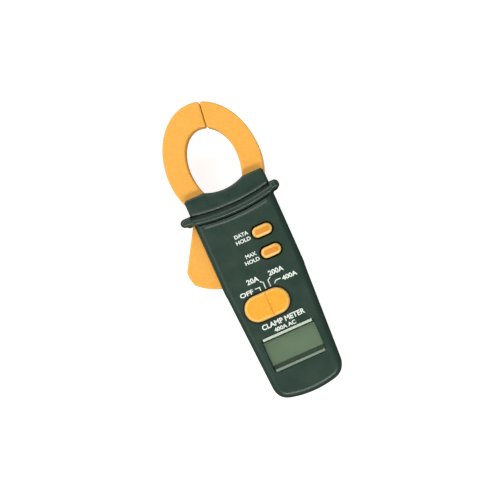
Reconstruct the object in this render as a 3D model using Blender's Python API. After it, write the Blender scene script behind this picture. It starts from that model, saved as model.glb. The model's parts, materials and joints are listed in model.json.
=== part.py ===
"""A pocket clamp meter as an assembly of separate pieces.

The meter lies on its back: +Z is the way the display faces, +Y runs along the body towards the
jaws, and +X is to the right as the display is read. The origin is on the flat back, on the
body's centre line. Lengths here are millimetres, and each mesh is written in metres.
"""

import math

import bmesh
import bpy

MM = 0.001
GAP = 0.3  # between pieces that touch

# Case
PARTING_Z = 13.0
BACK_Z = 0.0
FACE_Z = 24.0
GUARD_FACE_Z = 25.6
NECK_BACK_Z = 2.8
NECK_FACE_Z = 23.2
GROOVE_BACK_Z = 0.8
GROOVE_FACE_Z = 23.2
WALL = 2.0
CASE_ROUNDING = 2.2
BACK_WALL = 2.6
CASE_HALF_WIDTH = 20.4
FOOT_HALF_WIDTH = 17.7
TAPER_START_Y = -13.0
FOOT_CORNER_Y = -65.8
FOOT_Y = -74.8
FOOT_SAG = 1.4
FOOT_ARC_HALF_WIDTH = 11.5
SHOULDER_Y = 18.4
SHOULDER_SAG = 1.9
NECK_TOP_Y = 32.6
EAR_TIP_LEFT = 26.1
EAR_TIP_RIGHT = 24.8
REAR_EAR_SETBACK = 0.9
EAR_Y = 22.8
EAR_HALF_WIDTH = 2.05
GUARD_HALF_WIDTH = 1.9
GUARD_SAG = 2.2

# Jaws
JAW_BACK_Z = 6.6
JAW_FACE_Z = 19.4
JAW_SLOT_BACK_Z = JAW_BACK_Z - GAP
JAW_SLOT_FACE_Z = JAW_FACE_Z + GAP
JAW_CENTRE_Y = 43.6
JAW_HALF_WIDTH = 23.2
JAW_TOP_REACH = 31.2
JAW_ROOT_REACH = 28.3
WINDOW_CENTRE_Y = 44.1
WINDOW_HALF_WIDTH = 12.2
WINDOW_TOP_REACH = 18.0
WINDOW_ROOT_REACH = 19.5
SPLIT_AIM_Y = 31.2
SPLIT_LEAN = 7.6  # degrees right of +Y
CORE_BACK_Z = 9.0
CORE_FACE_Z = 17.0
CORE_INSET = 1.8
CORE_OPEN_END = 1.2
JAW_ROUNDING = 1.2
YOKE_LOW_Y = 17.2
YOKE_HIGH_Y = 23.8
SHEATH_LOW_Y = 15.7
SHEATH_HIGH_Y = 25.1
FIXED_JAW_FOOT_Y = 27.2

# Trigger lever
PIVOT = (-13.0, 12.5)
TRIGGER_REACH = 26.4
TRIGGER_TIP = (-33.6, -0.6)
PIN_RADIUS = 2.0
BUSH_BORE_RADIUS = 2.06
BUSH_RADIUS = 3.2
BOSS_RADIUS = 5.2
PIN_BOSS_RADIUS = 3.4
SPRING_LEG_Y = 3.0
SPRING_PEG_X = -17.0
SPRING_STOP_X = -7.0

# Controls and display
BUTTON_X = 8.35
BUTTON_YS = {"data_hold": 4.9, "max_hold": -5.7}
BUTTON_SIZE = (9.9, 5.2)
BUTTON_FACE_Z = FACE_Z + 0.9
BUTTON_SKIRT = 2.0
KNOB_CENTRE = (-3.8, -28.5)
KNOB_SIZE = (22.4, 12.7)
KNOB_STEM = 4.0
KNOB_TRAVEL = 7.6
KNOB_FACE_Z = 26.0
DISPLAY_CENTRE_Y = -51.2
DISPLAY_SIZE = (26.0, 16.8)

# Inside
BOARD_BACK_Z = 14.8
BOARD_FACE_Z = 16.0
POSTS = {"upper": (15.3, 10.4), "left": (-15.0, -18.0), "right": (15.0, -18.0)}
POST_RADIUS = 3.2
SCREW_BORE_RADIUS = 1.5
SCREW_THREAD_BORE_RADIUS = 1.4
SCREW_HEAD_RADIUS = 2.3
SCREW_SHANK_RADIUS = 1.1
COUNTERBORE_RADIUS = 2.7
COUNTERBORE_DEPTH = 3.4
COVER_TOP_Y = -22.6
COVER_THICK = 1.6
COVER_HALF_WIDTH = 14.4
DOVETAIL = 0.8
CELL_RADIUS = 5.2
CELL_X = 5.6
CELL_Z = 8.3
CELL_LENGTH = 43.6
CELL_CAP = 0.9
CELL_LINK_Y = -22.7
CELL_END_Y = -70.8


# ---------------------------------------------------------------- outlines


def arc(centre, radii, start, end, steps):
    """Points of an ellipse's arc, with its angles in degrees from +X and both ends included."""
    turns = [math.radians(start + (end - start) * k / steps) for k in range(steps + 1)]
    return [(centre[0] + radii[0] * math.cos(t), centre[1] + radii[1] * math.sin(t)) for t in turns]


def bezier(first, pull, last, steps):
    """Points of a quadratic curve from first to last, without first."""
    points = []
    for k in range(1, steps + 1):
        t = k / steps
        weights = ((1 - t) ** 2, 2 * t * (1 - t), t * t)
        points.append(tuple(sum(w * p[a] for w, p in zip(weights, (first, pull, last))) for a in (0, 1)))
    return points


def rectangle(low, high):
    return [low, (high[0], low[1]), high, (low[0], high[1])]


def circle(centre, radius, steps=24):
    return arc(centre, (radius, radius), 0, 360, steps)[:-1]


def stadium(centre, width, height, steps=8):
    """A slot's outline with round ends left and right."""
    r = height / 2
    reach = width / 2 - r
    right = arc((centre[0] + reach, centre[1]), (r, r), -90, 90, steps)
    left = arc((centre[0] - reach, centre[1]), (r, r), 90, 270, steps)
    return right + left


def rounded_rectangle(centre, width, height, radius, steps=3):
    points = []
    for quarter, (sx, sy) in enumerate(((1, 1), (-1, 1), (-1, -1), (1, -1))):
        corner = (centre[0] + sx * (width / 2 - radius), centre[1] + sy * (height / 2 - radius))
        points += arc(corner, (radius, radius), 90 * quarter, 90 * quarter + 90, steps)
    return points


def mirrored(points):
    """The same outline on the other side of the centre line, still counterclockwise."""
    return [(-x, y) for x, y in reversed(points)]


def body_outline(inset, top):
    """The case below the guard: straight sides that taper to a gently bowed foot. top is its end."""
    side = CASE_HALF_WIDTH - inset
    foot = FOOT_HALF_WIDTH - inset
    low = FOOT_Y + inset
    corner_low = (FOOT_ARC_HALF_WIDTH, low + FOOT_SAG)
    bow = [(x, low + FOOT_SAG * (x / FOOT_ARC_HALF_WIDTH) ** 2) for x in (0.0, 3.0, 6.0, 9.0)]
    rise = 2 * FOOT_SAG / FOOT_ARC_HALF_WIDTH * (foot - FOOT_ARC_HALF_WIDTH)
    corner = bezier(corner_low, (foot - 0.4, low + FOOT_SAG + rise), (foot, FOOT_CORNER_Y), 6)
    right = bow + [corner_low] + corner + [(side, TAPER_START_Y)] + top
    return right + [(-x, y) for x, y in reversed(right) if x > 0]


def shoulder_points(side):
    """The body's upper edge on the right half, bowed down towards the middle."""
    steps = (1.0, 0.8, 0.6, 0.4, 0.2, 0.0)
    return [(side * s, SHOULDER_Y - SHOULDER_SAG * (1 - s * s)) for s in steps]


def guard_outline(setback):
    """The finger guard: a bowed band across the case with a rounded ear at each end.

    setback draws both ears in. The ear over the trigger is the longer one.
    """
    steps = 8
    span = [CASE_HALF_WIDTH * k / steps for k in range(-steps, steps + 1)]
    middles = [(x, EAR_Y - 0.3 - GUARD_SAG * (1 - (x / CASE_HALF_WIDTH) ** 2)) for x in span]
    lower = [(x, y - GUARD_HALF_WIDTH) for x, y in middles]
    upper = [(x, y + GUARD_HALF_WIDTH) for x, y in reversed(middles)]
    radii = (EAR_HALF_WIDTH, EAR_HALF_WIDTH)
    right = arc((EAR_TIP_RIGHT - setback - EAR_HALF_WIDTH, EAR_Y), radii, -90, 90, 8)
    left = arc((EAR_HALF_WIDTH + setback - EAR_TIP_LEFT, EAR_Y), radii, 90, 270, 8)
    return lower + right + upper + left


def neck_arc(drop, reach, steps):
    """The hollow in the neck's top edge, from left to right, lowered by drop."""
    half_width, sag = 10.1, 2.3
    radius = (half_width**2 + sag**2) / (2 * sag)
    centre_y = NECK_TOP_Y - sag + radius
    xs = [-reach + 2 * reach * k / steps for k in range(steps + 1)]
    return [(x, centre_y - math.sqrt((radius + drop) ** 2 - x * x)) for x in xs]


def neck_outline():
    corner = 1.2
    top = arc((CASE_HALF_WIDTH - corner, NECK_TOP_Y - corner), (corner, corner), 0, 90, 3)
    right = [(CASE_HALF_WIDTH, 20.0)] + top
    return [(-CASE_HALF_WIDTH, 20.0)] + right + neck_arc(0.0, 10.1, 8)[::-1] + mirrored(top)


def bearing(point):
    """The direction of a point from the pivot, in degrees."""
    return math.degrees(math.atan2(point[1] - PIVOT[1], point[0] - PIVOT[0]))


def jaw_edge(side, window, inset, end_y, steps):
    """One edge of a jaw, from the split down to end_y, as if the jaw were on the right.

    side is 1 for the right-hand jaw and -1 for the left-hand one. window picks the edge round the
    opening, and inset moves the edge into the jaw.
    """
    centre_y = WINDOW_CENTRE_Y if window else JAW_CENTRE_Y
    width = WINDOW_HALF_WIDTH + inset if window else JAW_HALF_WIDTH - inset
    top = WINDOW_TOP_REACH + inset if window else JAW_TOP_REACH - inset
    root = WINDOW_ROOT_REACH + inset if window else JAW_ROOT_REACH - inset
    y = centre_y + top
    for _ in range(30):
        x = side * (y - SPLIT_AIM_Y) * math.tan(math.radians(SPLIT_LEAN)) + GAP / 2
        y = centre_y + top * math.sqrt(1 - (x / width) ** 2)
    start = math.degrees(math.atan2((y - centre_y) / top, x / width))
    end = math.degrees(math.asin((end_y - centre_y) / root))
    upper = arc((0, centre_y), (width, top), start, 0, steps)
    lower = arc((0, centre_y), (width, root), 0, end, steps // 2 + 2)
    return upper + lower[1:]


def core_outline(side, grow, squared, past):
    """A jaw's core, down to its yoke, grown all round and run past its end faces.

    A squared core leaves its yoke bare for a coil.
    """
    inset = CORE_INSET - grow
    low = YOKE_LOW_Y - grow
    high = YOKE_HIGH_Y + grow
    outer = jaw_edge(side, False, inset, 27.0, 18)
    inner = jaw_edge(side, True, inset, 30.0 if squared else high + 0.2, 14)
    outer[0] = (outer[0][0] - past, outer[0][1])
    inner[0] = (inner[0][0] - past, inner[0][1])
    heel = GAP / 2 - past
    bottom = [(15.8 + grow, 19.5), (13.6 + grow, low), (heel, low), (heel, high)]
    corner = [(11.3 - grow, high)] if squared else []
    outline = outer + bottom + corner + inner[::-1]
    return outline if side == 1 else mirrored(outline)


# ---------------------------------------------------------------- solids


def material(name, colour, roughness, metallic=0.0):
    made = bpy.data.materials.new(name)
    made.use_nodes = True
    shader = made.node_tree.nodes["Principled BSDF"]
    shader.inputs["Base Color"].default_value = (*colour, 1.0)
    shader.inputs["Roughness"].default_value = roughness
    shader.inputs["Metallic"].default_value = metallic
    return made


def to_object(name, mesh_builder):
    mesh = bpy.data.meshes.new(name)
    bmesh.ops.recalc_face_normals(mesh_builder, faces=mesh_builder.faces)
    mesh_builder.to_mesh(mesh)
    mesh_builder.free()
    made = bpy.data.objects.new(name, mesh)
    bpy.context.scene.collection.objects.link(made)
    return made


def prism(name, outline, low, high, round_low=0.0, round_high=0.0, steps=2):
    """An outline pushed from z = low to z = high, with its lower and upper rims rounded."""
    work = bmesh.new()
    base = work.faces.new([work.verts.new((x * MM, y * MM, low * MM)) for x, y in outline])
    lifted = bmesh.ops.extrude_face_region(work, geom=[base])["geom"]
    top = [v for v in lifted if isinstance(v, bmesh.types.BMVert)]
    bmesh.ops.translate(work, verts=top, vec=(0, 0, (high - low) * MM))
    for level, radius in ((low, round_low), (high, round_high)):
        if radius:
            rim = [e for e in work.edges if all(abs(v.co.z - level * MM) < 1e-6 for v in e.verts)]
            bmesh.ops.bevel(work, geom=rim, offset=radius * MM, segments=steps, profile=0.5, affect="EDGES")
    return to_object(name, work)


def turned(name, centre, profile, steps=24):
    """A solid of revolution about a +Z axis at centre, from its profile of (radius, z) points."""
    work = bmesh.new()
    rings = []
    for radius, z in profile:
        ring = [(x * MM, y * MM, z * MM) for x, y in circle(centre, radius, steps)]
        rings.append([work.verts.new(p) for p in ring])
    for ring, following in zip(rings, rings[1:]):
        for k in range(steps):
            after = (k + 1) % steps
            work.faces.new((ring[k], ring[after], following[after], following[k]))
    work.faces.new(rings[0])
    work.faces.new(rings[-1])
    return to_object(name, work)


def lying(name, x, z, profile, steps=20):
    """A solid of revolution about a +Y axis at (x, z), from its profile of (radius, y) points."""
    made = turned(name, (0, 0), profile, steps)
    for vertex in made.data.vertices:
        across, up, along = vertex.co
        vertex.co = (across + x * MM, along, z * MM - up)
    return made


def across(name, outline, low_x, high_x):
    """An outline of (y, z) points pushed from x = low_x to x = high_x."""
    made = prism(name, outline, low_x, high_x)
    for vertex in made.data.vertices:
        y, z, x = vertex.co
        vertex.co = (x, y, z)
    return made


def wire(name, points, radius, sides=1):
    """A round wire along points, with flat ends."""
    curve = bpy.data.curves.new(name, "CURVE")
    curve.dimensions = "3D"
    curve.bevel_depth = radius * MM
    curve.bevel_resolution = sides
    curve.use_fill_caps = True
    spline = curve.splines.new("POLY")
    spline.points.add(len(points) - 1)
    for slot, (x, y, z) in zip(spline.points, points):
        slot.co = (x * MM, y * MM, z * MM, 1.0)
    made = bpy.data.objects.new(name, curve)
    bpy.context.scene.collection.objects.link(made)
    return made


def combine(target, tool, operation):
    """Join or cut target with tool, and delete the tool."""
    modifier = target.modifiers.new(operation.lower(), "BOOLEAN")
    modifier.operation = operation
    modifier.object = tool
    evaluated = target.evaluated_get(bpy.context.evaluated_depsgraph_get())
    mesh = bpy.data.meshes.new_from_object(evaluated)
    target.modifiers.clear()
    target.data = mesh
    bpy.data.objects.remove(tool)


def join(target, *tools):
    for tool in tools:
        combine(target, tool, "UNION")


def cut(target, *tools):
    for tool in tools:
        combine(target, tool, "DIFFERENCE")


def finish(made, look, origin=(0.0, 0.0, 0.0)):
    """Give a piece its material, its shading and its origin, which is on its joint's axis if it moves."""
    made.data.materials.clear()
    made.data.materials.append(look)
    if made.type == "MESH":
        made.data.shade_smooth()
        made.data.set_sharp_from_angle(angle=math.radians(35))
        for vertex in made.data.vertices:
            vertex.co.x -= origin[0] * MM
            vertex.co.y -= origin[1] * MM
            vertex.co.z -= origin[2] * MM
        made.location = [MM * value for value in origin]
    return made


# ---------------------------------------------------------------- case


def case_half(name, front):
    """One half of the case, closed on its outside and hollow up to the parting plane."""
    meet = PARTING_Z + (GAP / 2 if front else -GAP / 2)

    def layer(outline, outer_z, rounding, steps=2):
        low, high = (meet, outer_z) if front else (outer_z, meet)
        round_low, round_high = (0.0, rounding) if front else (rounding, 0.0)
        return prism("layer", outline, low, high, round_low, round_high, steps)

    def hollow(outline, outer_z):
        past = meet + (-1.0 if front else 1.0)
        return prism("hollow", outline, min(past, outer_z), max(past, outer_z))

    outline = body_outline(0.0, shoulder_points(CASE_HALF_WIDTH))
    half = layer(outline, FACE_Z if front else BACK_Z, CASE_ROUNDING, 3)
    half.name = name
    bridge = rectangle((-19.6, 14.0), (19.6, 27.0))
    join(half, layer(bridge, GROOVE_FACE_Z if front else GROOVE_BACK_Z, 0.0))
    join(half, layer(neck_outline(), NECK_FACE_Z if front else NECK_BACK_Z, 1.0))
    guard = guard_outline(0.0 if front else REAR_EAR_SETBACK)
    join(half, layer(guard, GUARD_FACE_Z if front else BACK_Z, 0.9))

    inner_z = FACE_Z - WALL if front else BACK_WALL
    slot_z = JAW_SLOT_FACE_Z if front else JAW_SLOT_BACK_Z
    top = [(CASE_HALF_WIDTH - WALL, 19.2), (0.0, 19.2)]
    cut(half, hollow(body_outline(WALL, top), inner_z))
    cut(half, hollow(rectangle((-18.6, 18.0), (18.6, 36.0)), slot_z))
    cut(half, hollow(rectangle((-30.0, -14.0), (-10.0, 36.5)), slot_z))
    cut(half, hollow(rectangle((10.0, 25.4), (30.0, 37.0)), slot_z))

    saddle = neck_arc(1.6, 7.2, 6) + neck_arc(0.0, 7.2, 6)[::-1]
    low, high = sorted((meet, slot_z + (0.6 if front else -0.6)))
    join(half, prism("saddle", saddle, low, high))
    return half


def make_front_case(look):
    case = case_half("front_case", True)
    inner_z = FACE_Z - WALL
    for x, y in POSTS.values():
        profile = [(POST_RADIUS, PARTING_Z + GAP / 2), (POST_RADIUS, inner_z + 0.5)]
        join(case, turned("post", (x, y), profile, 20))
        thread = [(SCREW_THREAD_BORE_RADIUS, PARTING_Z - 1), (SCREW_THREAD_BORE_RADIUS, 20.4)]
        cut(case, turned("bore", (x, y), thread, 16))
    boss = [(PIN_BOSS_RADIUS, JAW_SLOT_FACE_Z + 0.1), (PIN_BOSS_RADIUS, inner_z + 0.5)]
    join(case, turned("boss", PIVOT, boss, 20))
    cut(case, turned("seat", PIVOT, [(PIN_RADIUS + GAP, JAW_SLOT_FACE_Z - 1), (PIN_RADIUS + GAP, 21.4)]))
    width, height = DISPLAY_SIZE
    opening = rounded_rectangle((0, DISPLAY_CENTRE_Y), width + 2 * GAP, height + 2 * GAP, 1.3)
    cut(case, prism("opening", opening, inner_z - 1, FACE_Z + 1))
    for y in BUTTON_YS.values():
        hole = stadium((BUTTON_X, y), BUTTON_SIZE[0] + 2 * GAP, BUTTON_SIZE[1] + 2 * GAP)
        cut(case, prism("hole", hole, inner_z - 1, FACE_Z + 1))
    middle = (KNOB_CENTRE[0] + KNOB_TRAVEL / 2, KNOB_CENTRE[1])
    slot = rounded_rectangle(middle, KNOB_TRAVEL + KNOB_STEM + 2 * GAP, KNOB_STEM + 2 * GAP, 0.8)
    cut(case, prism("slot", slot, inner_z - 1, FACE_Z + 1))
    return finish(case, look)


def cover_outline(half_width, top):
    return [(-half_width, FOOT_Y - 2), (half_width, FOOT_Y - 2), (half_width, top), (-half_width, top)]


def dovetail(name, half_width, top, low, high):
    """A plate that is wider at its inner face, so that its channel holds it."""
    plate = prism(name, cover_outline(half_width, top), low, high)
    for vertex in plate.data.vertices:
        if vertex.co.z > (low + high) / 2 * MM:
            vertex.co.x += math.copysign(DOVETAIL * MM, vertex.co.x)
    return plate


def make_rear_case(look):
    case = case_half("rear_case", False)
    for x, y in POSTS.values():
        profile = [(POST_RADIUS, BACK_WALL - 0.5), (POST_RADIUS, PARTING_Z - GAP / 2)]
        join(case, turned("post", (x, y), profile, 20))
        bore = [(SCREW_BORE_RADIUS, BACK_Z - 1), (SCREW_BORE_RADIUS, PARTING_Z + 1)]
        cut(case, turned("bore", (x, y), bore, 16))
        counterbore = [(COUNTERBORE_RADIUS, BACK_Z - 1), (COUNTERBORE_RADIUS, COUNTERBORE_DEPTH)]
        cut(case, turned("counterbore", (x, y), counterbore, 20))
    boss = [(PIN_BOSS_RADIUS, BACK_WALL - 0.5), (PIN_BOSS_RADIUS, JAW_SLOT_BACK_Z - 0.1)]
    join(case, turned("boss", PIVOT, boss, 20))
    cut(case, turned("seat", PIVOT, [(PIN_RADIUS + GAP, 3.2), (PIN_RADIUS + GAP, JAW_SLOT_BACK_Z + 1)]))
    join(case, turned("stop", (SPRING_STOP_X, SPRING_LEG_Y + 1), [(0.8, BACK_WALL - 0.5), (0.8, 5.8)], 12))
    cut(case, dovetail("channel", COVER_HALF_WIDTH, COVER_TOP_Y, BACK_Z, COVER_THICK + GAP))
    cut(case, prism("door", rectangle((-11.4, -71.2), (11.4, COVER_TOP_Y - 1.2)), 1.0, BACK_WALL + 1))
    return finish(case, look)


def make_battery_cover(look):
    """A plate that slides off towards the foot, with the case's own rounded end."""
    cover = dovetail("battery_cover", COVER_HALF_WIDTH - GAP, COVER_TOP_Y - GAP, BACK_Z, COVER_THICK)
    outline = body_outline(0.0, shoulder_points(CASE_HALF_WIDTH))
    shell = prism("shell", outline, BACK_Z, PARTING_Z - 1, CASE_ROUNDING, 0.0, 3)
    combine(cover, shell, "INTERSECT")
    return finish(cover, look, (0.0, COVER_TOP_Y, 0.0))


def make_case_screws(look):
    head = [(SCREW_HEAD_RADIUS, 1.2), (SCREW_HEAD_RADIUS, COUNTERBORE_DEPTH - GAP)]
    shank = [(SCREW_SHANK_RADIUS, COUNTERBORE_DEPTH - GAP), (SCREW_SHANK_RADIUS, 19.9)]
    for place, centre in POSTS.items():
        screw = turned(f"case_screw_{place}", centre, head + shank, 16)
        for size in ((2.6, 0.5), (0.5, 2.6)):
            low = (centre[0] - size[0] / 2, centre[1] - size[1] / 2)
            high = (centre[0] + size[0] / 2, centre[1] + size[1] / 2)
            cut(screw, prism("recess", rectangle(low, high), 0.6, 2.2))
        finish(screw, look)


# ---------------------------------------------------------------- jaws


def shell_half(name, outline, front, channel):
    """Half of a jaw's moulding, hollow up to the parting plane."""
    low, high = (PARTING_Z + GAP / 2, JAW_FACE_Z) if front else (JAW_BACK_Z, PARTING_Z - GAP / 2)
    half = prism(name, outline, low, high, *((0.0, JAW_ROUNDING) if front else (JAW_ROUNDING, 0.0)))
    inner = CORE_FACE_Z + GAP if front else CORE_BACK_Z - GAP
    past = low - 1 if front else high + 1
    cut(half, prism("hollow", channel, min(inner, past), max(inner, past)))
    return half


def make_fixed_jaw(plastic, iron):
    outer = jaw_edge(1, False, 0.0, FIXED_JAW_FOOT_Y, 22)
    outline = outer + jaw_edge(1, True, 0.0, FIXED_JAW_FOOT_Y, 18)[::-1]
    channel = core_outline(1, GAP, True, CORE_OPEN_END)
    for side in ("front", "rear"):
        half = shell_half(f"fixed_jaw_{side}_shell", outline, side == "front", channel)
        finish(half, plastic)
    core = prism("fixed_jaw_core", core_outline(1, 0.0, True, 0.0), CORE_BACK_Z, CORE_FACE_Z)
    finish(core, iron)


def lever_outline():
    """The moving jaw and its trigger in one outline, from the split's outer end."""
    outer = mirrored(jaw_edge(-1, False, 0.0, 25.6, 22)[::-1])
    inner = mirrored(jaw_edge(-1, True, 0.0, SHEATH_HIGH_Y + 0.3, 18))
    tip_high = (-32.6, 1.6)
    tip_low = (-31.2, -5.4)
    sole_end = (-18.0, -13.4)
    sole = arc(PIVOT, (TRIGGER_REACH, TRIGGER_REACH), bearing(tip_low), bearing(sole_end), 8)
    flank = [(-17.6, 21.4), (-21.2, 20.2), tip_high]
    trigger = flank + bezier(tip_high, TRIGGER_TIP, sole[0], 5) + sole[1:]
    arm = [(-15.8, -11.0), (-14.6, 3.0)]
    boss = arc(PIVOT, (BOSS_RADIUS, BOSS_RADIUS), -70, 20, 5)
    yoke = [(-7.4, SHEATH_LOW_Y), (-GAP, SHEATH_LOW_Y), (-GAP, SHEATH_HIGH_Y - 0.6), (-0.9, SHEATH_HIGH_Y)]
    return outer + trigger + arm + boss + yoke + inner


def make_jaw_lever(plastic, iron, brass):
    """The moving jaw, its trigger and its core, all turning about the pivot."""
    axis = (*PIVOT, PARTING_Z)
    outer_side = [(-21.0, 17.4), (-31.0, 0.8), (-30.6, -3.0), (-29.2, -5.2), (-24.0, -9.4)]
    trigger_hollow = outer_side + [(-18.4, -11.6), (-17.6, -9.4), (-18.6, 8.0)]
    for side, front in (("front", True), ("rear", False)):
        name = f"moving_jaw_{side}_shell"
        half = shell_half(name, lever_outline(), front, core_outline(-1, GAP, False, CORE_OPEN_END))
        low, high = (PARTING_Z - 1, JAW_FACE_Z - WALL) if front else (JAW_BACK_Z + WALL, PARTING_Z + 1)
        cut(half, prism("hollow", trigger_hollow, low, high))
        press_radius = BUSH_RADIUS + 0.1
        cut(half, turned("bore", PIVOT, [(press_radius, JAW_BACK_Z - 1), (press_radius, JAW_FACE_Z + 1)]))
        if not front:
            join(half, turned("peg", (SPRING_PEG_X, SPRING_LEG_Y + 1), [(0.7, 3.4), (0.7, 7.4)], 12))
        finish(half, plastic, axis)
    core = prism("moving_jaw_core", core_outline(-1, 0.0, False, 0.0), CORE_BACK_Z, CORE_FACE_Z)
    finish(core, iron, axis)
    bush = turned("pivot_bush", PIVOT, [(BUSH_RADIUS, JAW_BACK_Z), (BUSH_RADIUS, JAW_FACE_Z)])
    bore = [(BUSH_BORE_RADIUS, JAW_BACK_Z - 1), (BUSH_BORE_RADIUS, JAW_FACE_Z + 1)]
    cut(bush, turned("bore", PIVOT, bore))
    finish(bush, brass, axis)


def make_pivot(steel):
    """The pin, and the return spring whose legs bear on the rear case's stop and the lever's peg."""
    finish(turned("jaw_pivot_pin", PIVOT, [(PIN_RADIUS, 3.5), (PIN_RADIUS, 21.1)]), steel)
    radius, low, pitch, steps, turns = 4.6, 3.5, 0.85, 16, 2.5
    coil = []
    for k in range(int(turns * steps) + 1):
        angle = math.tau * k / steps
        height = low + pitch * k / steps
        coil.append((PIVOT[0] + radius * math.cos(angle), PIVOT[1] + radius * math.sin(angle), height))
    still_leg = [(coil[0][0], SPRING_LEG_Y, low)]
    x, y, z = coil[-1]
    moving_leg = [(x + 0.1, y - 1.5, z), (SPRING_PEG_X + 1.4, SPRING_LEG_Y, z)]
    finish(wire("jaw_return_spring", still_leg + coil + moving_leg, 0.4), steel)


def make_coil(plastic, copper):
    """A bobbin on the fixed core's yoke, its winding, and the two leads down to the board."""
    middle = ((YOKE_LOW_Y + YOKE_HIGH_Y) / 2, PARTING_Z)
    deep = YOKE_HIGH_Y - YOKE_LOW_Y
    tall = CORE_FACE_Z - CORE_BACK_Z

    def sleeve(name, grow_y, grow_z, low_x, high_x):
        outline = rounded_rectangle(middle, deep + 2 * grow_y, tall + 2 * grow_z, 0.5 + grow_y / 4, 2)
        return across(name, outline, low_x, high_x)

    bobbin = sleeve("coil_bobbin", 1.0, 1.0, 1.4, 10.6)
    join(bobbin, sleeve("flange", 3.0, 2.4, 1.4, 2.2), sleeve("flange", 3.0, 2.4, 9.8, 10.6))
    cut(bobbin, sleeve("bore", GAP, GAP, 0.0, 12.0))
    finish(bobbin, plastic)
    winding = sleeve("coil_winding", 2.8, 2.2, 2.4, 9.6)
    cut(winding, sleeve("bore", 1.15, 1.15, 2.0, 10.0))
    finish(winding, copper)
    y = YOKE_LOW_Y - 3.2
    for name, x in (("left", 3.6), ("right", 8.4)):
        route = [(x, y, 13.5), (x, y - 0.5, 15.0), (x, y - 1.4, 16.4), (x, y - 3.4, 16.9)]
        finish(wire(f"coil_lead_{name}", route, 0.35), copper)


# ---------------------------------------------------------------- controls


def make_buttons(plastic, dark, steel):
    """Each push button with the plunger that rides under it, and the key switch that stays."""
    for name, y in BUTTON_YS.items():
        centre = (BUTTON_X, y)
        axis = (*centre, FACE_Z)
        width, height = BUTTON_SIZE
        button = prism(f"{name}_button", stadium(centre, width, height), 21.0, BUTTON_FACE_Z, 0.0, 0.5)
        skirt = stadium(centre, width + BUTTON_SKIRT, height + BUTTON_SKIRT)
        join(button, prism("skirt", skirt, 20.4, FACE_Z - WALL - GAP))
        finish(button, plastic, axis)
        finish(turned(f"{name}_plunger", centre, [(1.6, 18.9), (1.6, 20.1)], 16), dark, axis)
        outline = rounded_rectangle(centre, 6.0, 6.0, 0.4, 1)
        finish(prism(f"{name}_switch", outline, BOARD_FACE_Z + GAP, 17.8), steel)


def make_range_switch(plastic, dark, brass):
    """The slide knob, and the wiper that it carries along the board's contacts."""
    x, y = KNOB_CENTRE
    axis = (x, y, FACE_Z)
    knob = prism("range_knob", stadium(KNOB_CENTRE, *KNOB_SIZE, 10), FACE_Z + GAP, KNOB_FACE_Z, 0.0, 0.8)
    stem = rounded_rectangle(KNOB_CENTRE, KNOB_STEM, KNOB_STEM, 0.8, 2)
    join(knob, prism("stem", stem, 21.0, FACE_Z + 1))
    finish(knob, plastic, axis)
    carrier = prism("wiper_carrier", rectangle((x - 5.0, y - 4.0), (x + 5.0, y + 4.0)), 18.2, 20.7)
    finish(carrier, dark, axis)
    wiper = prism("wiper_contact", rectangle((x - 1.0, y - 3.0), (x + 1.0, y + 3.0)), 17.0, 17.9)
    finish(wiper, brass, axis)
    track = rectangle((x - 3.0, y - 4.0), (x + KNOB_TRAVEL + 3.0, y + 4.0))
    finish(prism("range_contacts", track, BOARD_FACE_Z + GAP, 16.7), brass)


# ---------------------------------------------------------------- board and display


def make_board(green, black, steel):
    left, right, low = -15.6, 15.6, -64.0
    narrow_left, narrow_right, neck_y, top = -6.0, 11.4, -23.5, 12.6
    wide = [(left, neck_y), (left, low), (right, low), (right, neck_y)]
    narrow = [(narrow_right, neck_y), (narrow_right, top), (narrow_left, top), (narrow_left, neck_y)]
    board = prism("circuit_board", wide + narrow, BOARD_BACK_Z, BOARD_FACE_Z)
    for name, x in (("left", -13.2), ("right", 13.2)):
        centre = (x, -37.4)
        cut(board, turned("hole", centre, [(1.2, BOARD_BACK_Z - 1), (1.2, BOARD_FACE_Z + 1)], 12))
        profile = [(0.9, 12.6), (0.9, 16.3), (1.9, 16.3), (1.9, 17.5)]
        finish(turned(f"board_screw_{name}", centre, profile, 12), steel)
    finish(board, green)
    chip = prism("main_chip", rectangle((-5.0, -58.0), (5.0, -48.0)), 13.8, BOARD_BACK_Z - GAP)
    finish(chip, black)
    can = stadium((0.6, -16.6), 8.0, 3.4, 5)
    finish(prism("quartz_crystal", can, BOARD_FACE_Z + GAP, 18.6, 0.0, 0.4), steel)
    capacitor = turned("filter_capacitor", (-1.8, 4.0), [(2.4, BOARD_FACE_Z + GAP), (2.4, 19.6)], 16)
    finish(capacitor, black)


def make_display(clear, glass, dark, rubber):
    """The window in the case, the glass under it, its frame, and the strips down to the board."""
    width, height = DISPLAY_SIZE
    centre = (0.0, DISPLAY_CENTRE_Y)
    outline = rounded_rectangle(centre, width, height, 1.0)
    window = prism("lcd_window", outline, 21.0, FACE_Z - 0.2, 0.0, 0.3)
    lip = rounded_rectangle(centre, width + 2.6, height + 2.6, 1.6)
    join(window, prism("lip", lip, 20.5, FACE_Z - WALL - GAP))
    finish(window, clear)
    panel = rectangle((-13.8, DISPLAY_CENTRE_Y - 9.0), (13.8, DISPLAY_CENTRE_Y + 9.0))
    finish(prism("lcd_panel", panel, 17.8, 20.1), glass)
    frame = prism("lcd_frame", rounded_rectangle(centre, 30.4, 20.8, 1.2), BOARD_FACE_Z + GAP, 20.1)
    cut(frame, prism("seat", rounded_rectangle(centre, 28.2, 18.6, 0.6), 15.0, 22.0))
    finish(frame, dark)
    for name, y in (("upper", DISPLAY_CENTRE_Y + 7.6), ("lower", DISPLAY_CENTRE_Y - 7.6)):
        strip = prism(f"display_strip_{name}", rectangle((-12.6, y - 1.0), (12.6, y + 1.0)), 16.3, 17.5)
        finish(strip, rubber)


# ---------------------------------------------------------------- battery


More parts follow.
